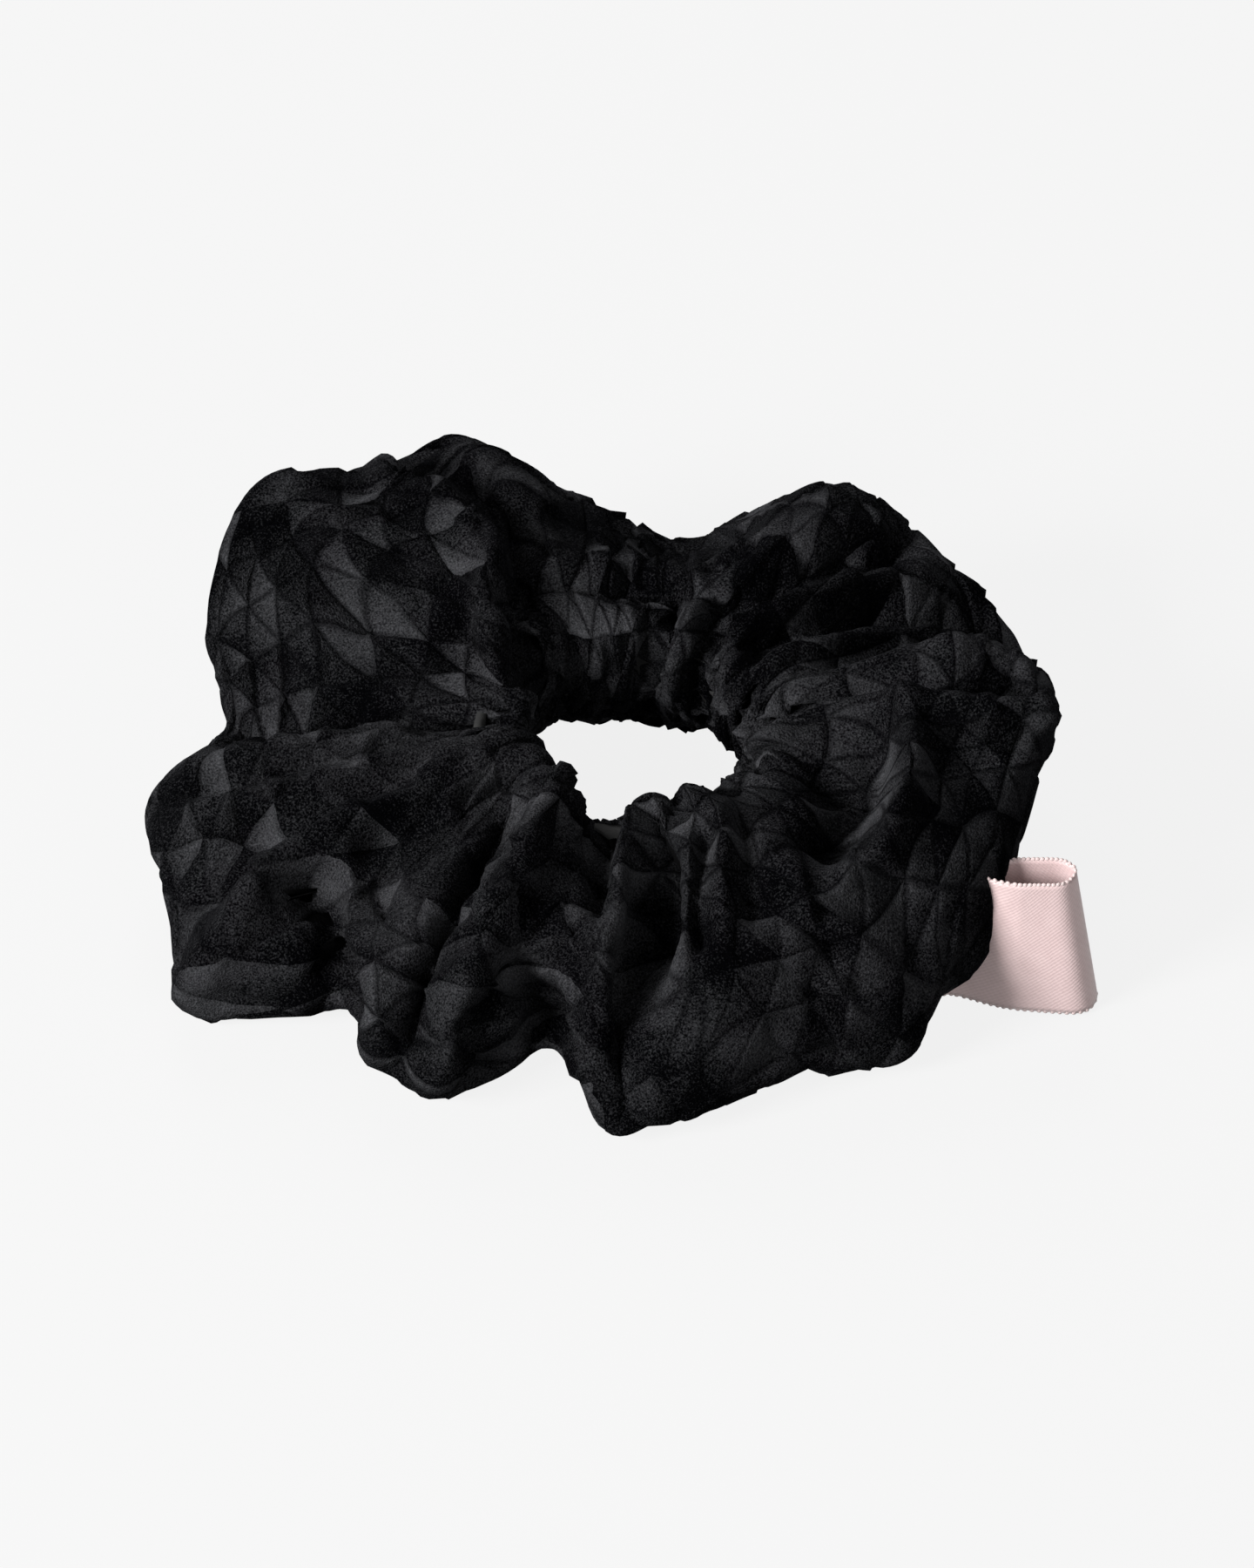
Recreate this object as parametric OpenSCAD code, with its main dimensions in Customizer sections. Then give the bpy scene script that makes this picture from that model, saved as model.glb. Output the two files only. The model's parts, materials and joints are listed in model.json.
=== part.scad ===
// Scrunchie: a padded velvet tube gathered on an elastic loop, with a satin ribbon tag in its closing seam.
// Millimetres. The origin is the centre of the hair loop, halfway up the elastic. +Z is the loop's axis,
// -Z is the side it rests on, and +X is the way the tag points. Ring angles run anticlockwise from +X.
// The cloth tube, its wadding and the elastic are continuous on the real object. They are cut here into six
// lengths, so that the loop can stretch along X.

/* [Loop] */
// Radius of the hole that the hair goes through
loop_r = 14; // [11:0.5:20]
// Height of the hole's straight wall
throat_h = 6; // [4:0.5:7]
// How deep the inner crown of the cloth is pressed flat to form that wall
throat_cut = 0.35; // [0.2:0.05:0.5]
// Height of the loop's centre above the surface it rests on
rest_h = 17; // [14:0.5:21]

/* [Puffs] */
// How far each puff reaches out from the loop's axis, starting with the one beside the tag
puff_reach = [56, 54, 52, 58, 59, 53, 53, 53]; // [44:1:71]
// How high each puff stands above the loop's centre
puff_top = [15, 14, 15, 17, 13, 13, 13, 16]; // [13:1:21]
// How far down the round of each puff would go if nothing held it up
puff_drop = 20; // [18:0.5:25]
// Share of a puff's reach that is left where the cloth is pinched between two puffs
pinch_reach = 0.86; // [0.75:0.01:0.95]
// Share of a puff's height that is left at a pinch
pinch_height = 0.78; // [0.72:0.01:0.95]
// How much each millimetre of height leans the puff outwards
lean = 0.15; // [0:0.01:0.25]

/* [Cloth] */
// Thickness of the velvet
velvet_t = 0.8; // [0.5:0.05:1.2]
// Thickness of the wadding under it
wadding_t = 2.2; // [1.5:0.1:2.7]
// Gap that the glue film between velvet and wadding takes
glue_t = 0.05; // [0.04:0.01:0.1]
// Gap left between two neighbouring lengths of cloth or elastic at the hole
length_gap = 0.3; // [0.3:0.05:0.6]

/* [Elastic] */
// Width of the elastic, along the loop's axis
elastic_w = 7; // [5:0.5:8]
// Thickness of the elastic
elastic_t = 1.2; // [0.8:0.1:1.6]
// Clearance between the wadding's inner crown and the elastic
elastic_clear = 1.6; // [1.5:0.1:2.4]
// Length of the lap where the elastic's two ends are sewn together
lap_l = 12; // [8:0.5:16]

/* [Thread] */
// Diameter of the sewing thread
thread_d = 0.35; // [0.25:0.05:0.5]
// Length of one stitch
stitch_l = 2.2; // [1.5:0.1:3]
// Gap between two stitches of a row
stitch_gap = 0.8; // [0.5:0.1:1.5]

/* [Ribbon tag] */
// Width of the ribbon, which stands upright
ribbon_w = 20; // [15:0.5:25]
// Thickness of the ribbon
ribbon_t = 0.4; // [0.3:0.05:0.6]
// Height of the ribbon's lower edge above the resting surface
ribbon_lift = 0.5; // [0.5:0.25:4]
// How far the tag stands to the -Y side of the loop's axis
tag_side = 26; // [21:0.5:31]
// How far the loop of the tag reaches past its fold line at the cloth
tag_l = 10.5; // [9:0.25:14]
// Outside width of the tag's loop
tag_gap = 7.6; // [7.2:0.1:9]
// How deep the ribbon's two tails are caught in the seam
tail_in = 4; // [3:0.25:6]
// Clearance all round the tails in the seam, and each side of the tag's fold line
tag_clear = 0.15; // [0.1:0.05:0.3]
// How far the fold line stands off the cloth, so that the tag can swing
tag_stand_off = 1.6; // [1.2:0.1:3]

/* [Hidden] */
PUFFS = len(puff_reach);
PUFF_A = 360 / PUFFS;          // ring angle that one puff takes
FIRST_PINCH = -10;             // ring angle of the pinch at the start of puff 0
SIDES = 24;                    // points round the tube
RINGS = 9;                     // rings to a puff
ROUND = 0.8;                   // below 1, the tube's section is fuller than an ellipse
BULGE = 0.6;                   // below 1, a puff is blunter than a sine along the ring
THROAT_LIP = 0.05;             // how far the edges of the crown stand inside the hole before it is cut
inner_in = velvet_t + glue_t;  // depth of the wadding's outer face under the cloth's
lining_in = inner_in + wadding_t;
elastic_r = loop_r + lining_in + elastic_clear;
trim_a = asin(length_gap / 2 / loop_r);
ribbon_z = ribbon_lift - rest_h;
tag_y = -tag_side;
tag_a = -asin(tag_side / puff_reach[PUFFS - 1]);
tag_x = sqrt(pow(reach(tag_a), 2) - pow(tag_side, 2)) + tag_stand_off;
SEAM_U = 0.75;                 // place of the long seam, as a share of the way round: straight down

// The lengths that the ring is cut into, by the pinches where each starts and ends
left_end = [3, 5];
right_end = [7, 9];
back_left = [2, 3];
back_right = [1, 2];
front_left = [5, 6];
front_right = [6, 7];

// ---- The tube's shape -------------------------------------------------------------------------------

function pinch_angle(k) = FIRST_PINCH + PUFF_A * k;
function wrap(k) = (k % PUFFS + PUFFS) % PUFFS;
function signed_pow(v, e) = sign(v) * pow(abs(v), e);

// A value given for each puff, eased from the middle of one puff to the middle of the next
function eased(list, a) =
    let (u = (a - FIRST_PINCH) / PUFF_A - 0.5, k = floor(u), w = (1 - cos(180 * (u - k))) / 2)
    list[wrap(k)] * (1 - w) + list[wrap(k + 1)] * w;

// 0 at a pinch and 1 in the middle of a puff
function bulge(a) =
    let (u = (a - FIRST_PINCH) / PUFF_A, s = u - floor(u))
    pow(sin(180 * s), BULGE);

function reach(a) =
    loop_r + (eased(puff_reach, a) - loop_r) * (pinch_reach + (1 - pinch_reach) * bulge(a));
function full(a, size) = size * (pinch_height + (1 - pinch_height) * bulge(a));

// Corner j of the tube's section at ring angle a and depth in, counted from outwards and up: [radius, height].
// The corners each side of the innermost one stand at the edges of the hole's straight wall.
function corner(a, j, in) =
    let (
        t = 360 / SIDES * j,
        low = loop_r + in,
        high = reach(a) - in,
        tall = (sin(t) > 0 ? full(a, eased(puff_top, a)) : full(a, puff_drop)) - in,
        z = max(tall * signed_pow(sin(t), ROUND), in - rest_h),
        share = (1 + signed_pow(cos(t), ROUND)) / 2
    )
    j == SIDES / 2 ? [low - throat_cut, 0]
    : abs(j - SIDES / 2) == 1 ? [low - THROAT_LIP, sign(SIDES / 2 - j) * throat_h / 2]
    : [low + (high - low) * share + lean * z * share, z];

// A point on the section's outline, a share u of the way round
function section(a, u, in) =
    let (j = floor(u * SIDES), f = u * SIDES - j)
    corner(a, j, in) * (1 - f) + corner(a, j + 1, in) * f;

function on_ring(a, p) = [p[0] * cos(a), p[0] * sin(a), p[1]];

// ---- Parts that repeat --------------------------------------------------------------------------------

// A length of the tube's wall between two depths, open at both ends
module tube_wall(span, outer_in, inner_in) {
    from = pinch_angle(span[0]) + trim_a;
    to = pinch_angle(span[1]) - trim_a;
    n = RINGS * (span[1] - span[0]);
    rings = [for (in = [outer_in, inner_in]) for (i = [0:n]) for (j = [0:SIDES - 1])
        on_ring(from + (to - from) * i / n, corner(from + (to - from) * i / n, j, in))];
    m = (n + 1) * SIDES;
    function at(i, j) = i * SIDES + j % SIDES;
    skin = [for (i = [0:n - 1]) for (j = [0:SIDES - 1]) each [
        [at(i, j), at(i + 1, j + 1), at(i + 1, j)],
        [at(i, j), at(i, j + 1), at(i + 1, j + 1)]
    ]];
    lining = [for (f = skin) [f[2] + m, f[1] + m, f[0] + m]];
    ends = [for (j = [0:SIDES - 1]) each [
        [at(0, j), at(0, j) + m, at(0, j + 1) + m, at(0, j + 1)],
        [at(n, j), at(n, j + 1), at(n, j + 1) + m, at(n, j) + m]
    ]];
    polyhedron(rings, concat(skin, lining, ends), convexity = 8);
}

module velvet(span) {
    color([0.06, 0.06, 0.07])
        difference() {
            tube_wall(span, 0, velvet_t);
            cylinder(r = loop_r, h = 3 * rest_h, center = true, $fn = 96);
            if (span == right_end) tails(tag_clear);
        }
}

module wadding(span) {
    color([0.16, 0.16, 0.16])
        difference() {
            tube_wall(span, inner_in, lining_in);
            if (span == right_end) tails(tag_clear);
        }
}

module elastic(span) {
    from = pinch_angle(span[0]) + trim_a;
    to = pinch_angle(span[1]) - trim_a;
    color([0.12, 0.12, 0.12]) {
        rotate(from)
            rotate_extrude(angle = to - from, $fn = 96)
                translate([elastic_r, -elastic_w / 2]) square([elastic_t, elastic_w]);
        if (span == right_end) elastic_lap();
    }
}

// The second layer where one end of the elastic lies over the other
module elastic_lap() {
    rotate(-lap_a() / 2)
        rotate_extrude(angle = lap_a(), $fn = 96)
            translate([elastic_r + elastic_t, -elastic_w / 2]) square([elastic_t, elastic_w]);
}
function lap_a() = lap_l / (elastic_r + 2 * elastic_t) * 180 / PI;

// A straight length of thread between two points
module thread(from, to) {
    v = to - from;
    translate(from)
        rotate([0, acos(v[2] / norm(v)), atan2(v[1], v[0])])
            cylinder(d = thread_d, h = norm(v), $fn = 16);
}

// The lockstitch that closes the tube along its length, half sunk in the wadding
module seam_thread(span) {
    from = pinch_angle(span[0]) + trim_a;
    to = pinch_angle(span[1]) - trim_a;
    mid = (loop_r + min(puff_reach)) / 2;
    n = floor((to - from) * PI / 180 * mid / (stitch_l + stitch_gap));
    step = (to - from) / n;
    fill = stitch_l / (stitch_l + stitch_gap);
    color([0.1, 0.1, 0.1])
        for (i = [0:n - 1])
            thread(seam_point(from + step * (i + (1 - fill) / 2)), seam_point(from + step * (i + (1 + fill) / 2)));
}
function seam_point(a) = on_ring(a, section(a, SEAM_U, lining_in));

// The stitches that join the tube's two ends, round the section in line with the tag
module closing_seam_thread() {
    n = 30;
    fill = stitch_l / (stitch_l + stitch_gap);
    color([0.1, 0.1, 0.1])
        for (i = [0:n - 1])
            thread(closing_point((i + (1 - fill) / 2) / n), closing_point((i + (1 + fill) / 2) / n));
}
function closing_point(u) = on_ring(tag_a, section(tag_a, u, lining_in));

// A zigzag across the elastic's lap, whose stitches dive into it at each turn
module elastic_join_thread() {
    zigs = 6;
    dive = 0.14;
    r = elastic_r + 2 * elastic_t;
    tall = elastic_w / 2 - 1;
    function zig(i) = on_ring(lap_a() * (i / zigs - 0.5) * 0.8, [r, i % 2 == 0 ? tall : -tall]);
    color([0.9, 0.9, 0.88])
        for (i = [0:zigs - 1])
            thread(zig(i) * (1 - dive) + zig(i + 1) * dive, zig(i) * dive + zig(i + 1) * (1 - dive));
}

// ---- The ribbon ---------------------------------------------------------------------------------------

// The outline of the two tails seen from the side: straight at the fold line, and following the cloth inside
function tail_outline(grow) = concat(
    [[tag_x - tag_clear + grow, ribbon_z - grow], [tag_x - tag_clear + grow, ribbon_z + ribbon_w + grow]],
    [for (i = [8:-1:0])
        let (z = ribbon_z - grow + (ribbon_w + 2 * grow) * i / 8)
        [tail_root(z) - grow, z]]
);
// How far out the tails start at height z
function tail_root(z) =
    let (
        high = reach(tag_a),
        tall = z > 0 ? full(tag_a, puff_top[PUFFS - 1]) : full(tag_a, puff_drop),
        c = pow(1 - pow(min(abs(z) / tall, 0.98), 2 / ROUND), ROUND / 2),
        r = loop_r + (high - loop_r) * (1 + c) / 2 + lean * z * (1 + c) / 2
    )
    sqrt(pow(r, 2) - pow(tag_side, 2)) - tail_in;

// The room that both tails take, grown all round by a clearance
module tails(grow) {
    translate([0, tag_y + ribbon_t + grow, 0])
        rotate([90, 0, 0])
            linear_extrude(2 * (ribbon_t + grow)) polygon(tail_outline(grow));
}

module ribbon_tails() {
    color([0.86, 0.76, 0.76]) tails(0);
}

// The loop of the tag, which stands upright and swings at its fold line
module ribbon_tag() {
    color([0.86, 0.76, 0.76])
        translate([tag_x, tag_y, ribbon_z])
            linear_extrude(ribbon_w)
                difference() {
                    drop(0);
                    drop(ribbon_t);
                }
}
module drop(in) {
    root_r = ribbon_t + 0.1;
    hull() {
        translate([tag_clear + root_r, 0]) circle(r = root_r - in * 0.8, $fn = 16);
        translate([tag_l - tag_gap / 2, 0]) circle(r = tag_gap / 2 - in, $fn = 32);
    }
}

// The tacking that holds the two tails together, in a row up the ribbon
module tag_thread() {
    n = 6;
    color([0.9, 0.85, 0.85])
        for (i = [0:n - 1]) {
            z = ribbon_z + ribbon_w * (i + 0.5) / n;
            x = tail_root(z) + tail_in / 4;
            thread([x, tag_y - 2 * ribbon_t, z], [x, tag_y + 2 * ribbon_t, z]);
        }
}

// ---- Nodes ----------------------------------------------------------------------------------------------

velvet(left_end);  // velvet_left_end
velvet(back_left);  // velvet_back_left
velvet(back_right);  // velvet_back_right
velvet(right_end);  // velvet_right_end
velvet(front_right);  // velvet_front_right
velvet(front_left);  // velvet_front_left
wadding(left_end);  // wadding_left_end
wadding(back_left);  // wadding_back_left
wadding(back_right);  // wadding_back_right
wadding(right_end);  // wadding_right_end
wadding(front_right);  // wadding_front_right
wadding(front_left);  // wadding_front_left
elastic(left_end);  // elastic_left_end
elastic(back_left);  // elastic_back_left
elastic(back_right);  // elastic_back_right
elastic(right_end);  // elastic_right_end
elastic(front_right);  // elastic_front_right
elastic(front_left);  // elastic_front_left
seam_thread(left_end);  // seam_thread_left_end
seam_thread(back_left);  // seam_thread_back_left
seam_thread(back_right);  // seam_thread_back_right
seam_thread(right_end);  // seam_thread_right_end
seam_thread(front_right);  // seam_thread_front_right
seam_thread(front_left);  // seam_thread_front_left
closing_seam_thread();
elastic_join_thread();
ribbon_tails();
ribbon_tag();
tag_thread();
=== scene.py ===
# %% [markdown]
# # A velvet scrunchie
# The object is a strip of padded black velvet, sewn into a tube and gathered on an elastic loop. A loop of
# pink satin ribbon is caught in its closing seam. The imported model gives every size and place, so this
# lesson starts by loading it. Its nodes are plain solids: the cloth is made here and takes their place.

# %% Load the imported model
import json
import math

import bmesh
import bpy
import numpy as np
from mathutils import Matrix, Vector, noise
from mathutils.bvhtree import BVHTree


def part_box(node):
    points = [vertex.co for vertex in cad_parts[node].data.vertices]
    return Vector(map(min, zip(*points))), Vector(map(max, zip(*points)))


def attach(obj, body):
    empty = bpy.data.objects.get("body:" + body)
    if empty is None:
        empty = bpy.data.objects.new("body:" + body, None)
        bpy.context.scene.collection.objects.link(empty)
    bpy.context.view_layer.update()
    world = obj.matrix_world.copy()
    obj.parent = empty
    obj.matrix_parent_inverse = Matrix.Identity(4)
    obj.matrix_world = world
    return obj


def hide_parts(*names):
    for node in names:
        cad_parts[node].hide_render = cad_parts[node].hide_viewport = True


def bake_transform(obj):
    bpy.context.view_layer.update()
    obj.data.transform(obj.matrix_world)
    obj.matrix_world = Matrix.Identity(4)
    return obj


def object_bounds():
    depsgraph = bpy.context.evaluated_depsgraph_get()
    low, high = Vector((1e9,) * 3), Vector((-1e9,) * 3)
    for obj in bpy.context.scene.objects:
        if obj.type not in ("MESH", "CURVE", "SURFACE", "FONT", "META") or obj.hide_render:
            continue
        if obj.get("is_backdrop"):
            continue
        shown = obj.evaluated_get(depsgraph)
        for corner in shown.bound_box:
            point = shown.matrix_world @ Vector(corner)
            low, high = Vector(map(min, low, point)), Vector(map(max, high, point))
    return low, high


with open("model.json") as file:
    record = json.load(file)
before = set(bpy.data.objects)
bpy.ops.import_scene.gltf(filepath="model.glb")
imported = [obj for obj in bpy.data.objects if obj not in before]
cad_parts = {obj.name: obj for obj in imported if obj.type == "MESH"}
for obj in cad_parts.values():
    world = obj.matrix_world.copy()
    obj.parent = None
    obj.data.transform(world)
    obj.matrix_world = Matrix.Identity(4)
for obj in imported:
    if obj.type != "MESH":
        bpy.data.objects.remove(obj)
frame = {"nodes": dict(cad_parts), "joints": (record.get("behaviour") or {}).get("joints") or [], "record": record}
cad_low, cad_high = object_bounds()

MM = 0.001
print("model box, mm:", [round(v / MM, 1) for v in (*cad_low, *cad_high)])

# %% [markdown]
# The hole, the resting surface and the tag's fold line are read from the model's own record and nodes, so
# that every piece below goes where the solids are.

# %% Sizes and places that come from the model
mounts = {m["name"]: m for m in frame["record"]["mounts"]}
joints = {j["name"]: j for j in frame["joints"]}
HOLE_R = mounts["loop"]["dims"]["r_mm"] * MM
FLOOR_Z = cad_low[2]
FOLD = Vector(joints["tag_swing"]["pos_m"])
ribbon_low, ribbon_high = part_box("ribbon_tag")
tails_low, tails_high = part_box("ribbon_tails")
elastic_low, elastic_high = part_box("elastic_left_end")
print("hole radius", HOLE_R, "floor", round(FLOOR_Z, 4), "fold line", tuple(round(v, 4) for v in FOLD))

# %% [markdown]
# ## Camera, floor and light
# The camera looks down at about 40 degrees from the front with a long lens, as a product picture does, so
# the loop is hardly foreshortened. The lamps are soft, and the pale floor glows evenly, so it shows almost no
# shadow; it is hidden from diffuse light, so it does not light the cloth from below.

# %% Camera
LOOK_AT = Vector((0.5, 0.0, -4.6)) * MM
CAMERA_UP = math.radians(40)
CAMERA_AWAY = 1.0
PICTURE_W = 156.5 * MM
camera_data = bpy.data.cameras.new("camera")
camera_data.sensor_fit = "HORIZONTAL"
camera_data.sensor_width = 36
camera_data.lens = 36 * CAMERA_AWAY / PICTURE_W
camera_data.clip_start = 0.01
camera = bpy.data.objects.new("camera", camera_data)
bpy.context.scene.collection.objects.link(camera)
camera.location = LOOK_AT + CAMERA_AWAY * Vector((0, -math.cos(CAMERA_UP), math.sin(CAMERA_UP)))
camera.rotation_euler = (LOOK_AT - camera.location).to_track_quat("-Z", "Y").to_euler()
bpy.context.scene.camera = camera
bpy.context.scene.view_settings.view_transform = "Standard"
print("lens", round(camera_data.lens), "mm")


# %% Small helpers for materials
def new_material(name, **sockets):
    """A Principled material whose plain values are set on the shader's own sockets."""
    material = bpy.data.materials.new(name)
    material.use_nodes = True
    shader = material.node_tree.nodes["Principled BSDF"]
    for socket, value in sockets.items():
        shader.inputs[socket.replace("_", " ")].default_value = value
    return material, material.node_tree, shader


def add_node(tree, kind, inputs=(), **settings):
    """A node of one kind. Its inputs are numbers, or sockets to link from."""
    node = tree.nodes.new(kind)
    for name, value in settings.items():
        setattr(node, name, value)
    for key, value in dict(inputs).items():
        if isinstance(value, bpy.types.NodeSocket):
            tree.links.new(value, node.inputs[key])
        else:
            node.inputs[key].default_value = value
    return node


def math_node(tree, operation, a, b=0.0, c=0.0):
    """The result of one Math node."""
    return add_node(tree, "ShaderNodeMath", {0: a, 1: b, 2: c}, operation=operation).outputs[0]


def linear(red, green, blue):
    """A colour as the eye reads it, 0 to 255, as the linear value that a shader takes."""
    return tuple(((v / 255 + 0.055) / 1.055) ** 2.4 if v > 10 else v / 255 / 12.92 for v in (red, green, blue)) + (1,)


# %% Floor
floor_mesh = bpy.data.meshes.new("floor")
bm = bmesh.new()
bmesh.ops.create_grid(bm, x_segments=1, y_segments=1, size=3)
bmesh.ops.translate(bm, vec=(0, 0, FLOOR_Z - 0.1 * MM), verts=bm.verts)
bm.to_mesh(floor_mesh)
bm.free()
floor = bpy.data.objects.new("floor", floor_mesh)
bpy.context.scene.collection.objects.link(floor)
floor_material, _, _ = new_material(
    "pale_floor", Base_Color=(0.04, 0.04, 0.04, 1), Roughness=1.0, Specular_IOR_Level=0.0,
    Emission_Color=(1, 1, 1, 1), Emission_Strength=0.855)
floor_mesh.materials.append(floor_material)
floor.visible_diffuse = False
floor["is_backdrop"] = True

# %% Light
world = bpy.data.worlds.new("studio")
bpy.context.scene.world = world
world.use_nodes = True
world.node_tree.nodes["Background"].inputs["Color"].default_value = (1, 1, 1, 1)
world.node_tree.nodes["Background"].inputs["Strength"].default_value = 0.18


def lamp(name, place, size, power):
    """A soft square lamp that points at the object."""
    data = bpy.data.lights.new(name, "AREA")
    data.size = size
    data.energy = power
    obj = bpy.data.objects.new(name, data)
    bpy.context.scene.collection.objects.link(obj)
    obj.location = place
    obj.rotation_euler = (-obj.location).to_track_quat("-Z", "Y").to_euler()
    return obj


lamp("key", Vector((-0.8, -0.55, 0.5)), 0.4, 27.0)
lamp("fill", Vector((0.5, -0.8, 0.4)), 0.7, 3.5)
lamp("back", Vector((-0.1, 0.7, 0.6)), 0.5, 5.0)

# %% [markdown]
# ## The cover
# The cover is one strip of padded velvet, 110 by 345 mm, sewn into a tube and gathered to the elastic. It
# could be sculpted fold by fold, but gathers look right only when the cloth is as long as it really is. So
# a ring of cloth starts in roughly the shape it will take, knows its true flat size, and a cloth
# simulation lets it swell and buckle into folds.
#
# The table holds the ruffle's shape. Each row is one place round the ring: its angle, and
# for the outer edge, the top and the foot of the tube's section how far out and how high they lie, with the
# height of the gathered crown beside the hole. Heights are counted from the resting surface.

# %% The ruffle's table
CLOTH_W = 110 * MM
CLOTH_L = 345 * MM
RUFFLE = [
    # angle, edge out, edge up, top out, top up, crown up, foot out, foot up
    (-10, 53.5, 29, 38, 31, 23, 40, 3),
    (-24, 52, 22, 38, 28, 23, 44, 0),
    (-31, 54.5, 22, 42, 28, 23, 47, 0),
    (-36, 52, 16, 40, 26, 23, 46, 0),
    (-49, 54.5, 2, 37, 24, 23, 42, 0),
    (-60, 50.5, 3, 36, 23, 25, 40, 0),
    (-70, 50.5, 3, 36, 23, 25.5, 38, 0),
    (-80, 53, 2, 37, 22, 25.5, 40, 0),
    (-86, 54.5, 3, 35, 19, 24, 40, 0),
    (-92, 56.5, 2, 38, 21, 22, 42, 0),
    (-101, 42, 7, 35, 20, 21, 36, 1),
    (-110, 47, 2, 38, 21, 22, 38, 0),
    (-120, 54, 2, 41, 21, 22, 42, 0),
    (-129, 51, 6, 42, 20, 23, 42, 1),
    (-138, 49.5, 4, 38, 17, 23, 40, 1),
    (-147, 61, 1, 40, 18, 23, 50, 0),
    (-156, 61.5, 3, 43, 19, 23, 48, 0),
    (-165, 59.5, 7, 42, 17, 22, 44, 0),
    (-178, 60.5, 11, 39, 21, 21, 42, 0),
    (-189, 51, 14.5, 37, 18, 20, 40, 1),
    (-203, 58, 20, 40, 25, 21, 42, 0),
    (-218, 60, 32, 44, 31.5, 25, 44, 0),
    (-230, 51, 30, 38, 31, 28, 42, 0),
    (-240, 54.5, 28, 41, 30, 26, 42, 0),
    (-247, 55.5, 27, 45, 32, 25, 42, 0),
    (-260, 49, 17.5, 41, 26, 25, 40, 0),
    (-281, 42.5, 13, 35, 22, 25, 36, 0),
    (-292, 48.5, 15, 39, 25, 25, 38, 0),
    (-305, 54, 20, 45, 30, 26, 42, 0),
    (-320, 53.5, 20, 42, 28, 26, 42, 0),
    (-335, 56, 17, 40, 23, 25, 42, 0),
    (-345, 55, 17, 38, 23, 25, 42, 0),
    (-353, 54, 25, 38, 31, 25, 42, 0),
]
ROWS_ALONG = 96
ROWS_ROUND = 32


def from_table(angle, column):
    """A column of the table at one ring angle, on a smooth curve through its rows."""
    rows = sorted((row[0] % 360, row[column]) for row in RUFFLE)
    count = len(rows)
    after = next((i for i, row in enumerate(rows) if row[0] > angle), count)
    (a0, v0), (a1, v1), (a2, v2), (a3, v3) = (
        (rows[i % count][0] + 360 * (i // count), rows[i % count][1]) for i in range(after - 2, after + 2))
    span = a2 - a1
    share = (angle - a1) / span
    slope1, slope2 = (v2 - v0) / (a2 - a0) * span, (v3 - v1) / (a3 - a1) * span
    return ((2 * share ** 3 - 3 * share ** 2 + 1) * v1 + (share ** 3 - 2 * share ** 2 + share) * slope1
            + (3 * share ** 2 - 2 * share ** 3) * v2 + (share ** 3 - share ** 2) * slope2)


# %% [markdown]
# A circle is spun round the loop's axis to make the ring of cloth. Each point then knows two numbers: how
# far along the strip it is, and how far round the tube. They are kept as the cloth's own UV map, because
# the pressed pattern has to follow the cloth into its folds. The map starts and ends at the two real seams,
# so its breaks are where the real pattern breaks.

# %% A ring of cloth with its own UV map
SPIN_R = 40 * MM
SPIN_TUBE_R = 10 * MM
SEAM_ROUND = 0.75     # the long seam's place round the tube, straight down
TAG_ANGLE = math.atan2(FOLD.y, FOLD.x) / (2 * math.pi) % 1
TAG_COLUMN = round(TAG_ANGLE * ROWS_ALONG)


def strip_place(co):
    """How far along the strip and round the tube a point of the plain ring is, both from 0 to 1."""
    along = math.atan2(co.y, co.x) / (2 * math.pi)
    round_ = math.atan2(co.z, math.hypot(co.x, co.y) - SPIN_R) / (2 * math.pi)
    return along % 1, round_ % 1


def ring_of_cloth():
    bm = bmesh.new()
    upright = Matrix.Translation((SPIN_R, 0, 0)) @ Matrix.Rotation(math.pi / 2, 4, "X")
    bmesh.ops.create_circle(bm, segments=ROWS_ROUND, radius=SPIN_TUBE_R, matrix=upright)
    bmesh.ops.spin(bm, geom=bm.verts[:] + bm.edges[:], cent=(0, 0, 0), axis=(0, 0, 1),
                   angle=2 * math.pi, steps=ROWS_ALONG, use_merge=True)
    bmesh.ops.recalc_face_normals(bm, faces=bm.faces)
    uv = bm.loops.layers.uv.new("Cloth")
    seams = Vector((TAG_COLUMN / ROWS_ALONG, SEAM_ROUND))
    for face in bm.faces:
        middle = Vector(strip_place(face.calc_center_median())) - seams
        middle = Vector(value % 1 for value in middle)
        for loop in face.loops:
            place = Vector(strip_place(loop.vert.co)) - seams
            for axis in (0, 1):
                place[axis] += round(middle[axis] - place[axis])
            loop[uv].uv = place
    return bm


bm = ring_of_cloth()
bm.verts.ensure_lookup_table()
places = [strip_place(v.co) for v in bm.verts]
print("ring of cloth:", len(bm.verts), "points")


# %% [markdown]
# The same ring takes two shapes. The start is the ruffle from the table, with a row of uneven gathers at
# the hole. The other is what the cloth would measure if it lay smooth: a wider, taller band. The difference
# between the two is what the simulation turns into folds.

# %% Start shape and smooth shape
GATHERS = 14
GATHER_DEPTH = 2.0 * MM
GATHER_REACH = 9 * MM       # how far from the hole the gathers fade
CROWN_GAP = 0.8 * MM        # between the hole's wall and the innermost cloth
CROWN_OUT = 4.0 * MM        # how far the gathered crown lies outside the hole
BULGE = 0.17                # how far a slope of the section swells, as a share of its drop
SMOOTH_OUT = CLOTH_L / (2 * math.pi) + 2 * MM
SMOOTH_IN = 32 * MM


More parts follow.
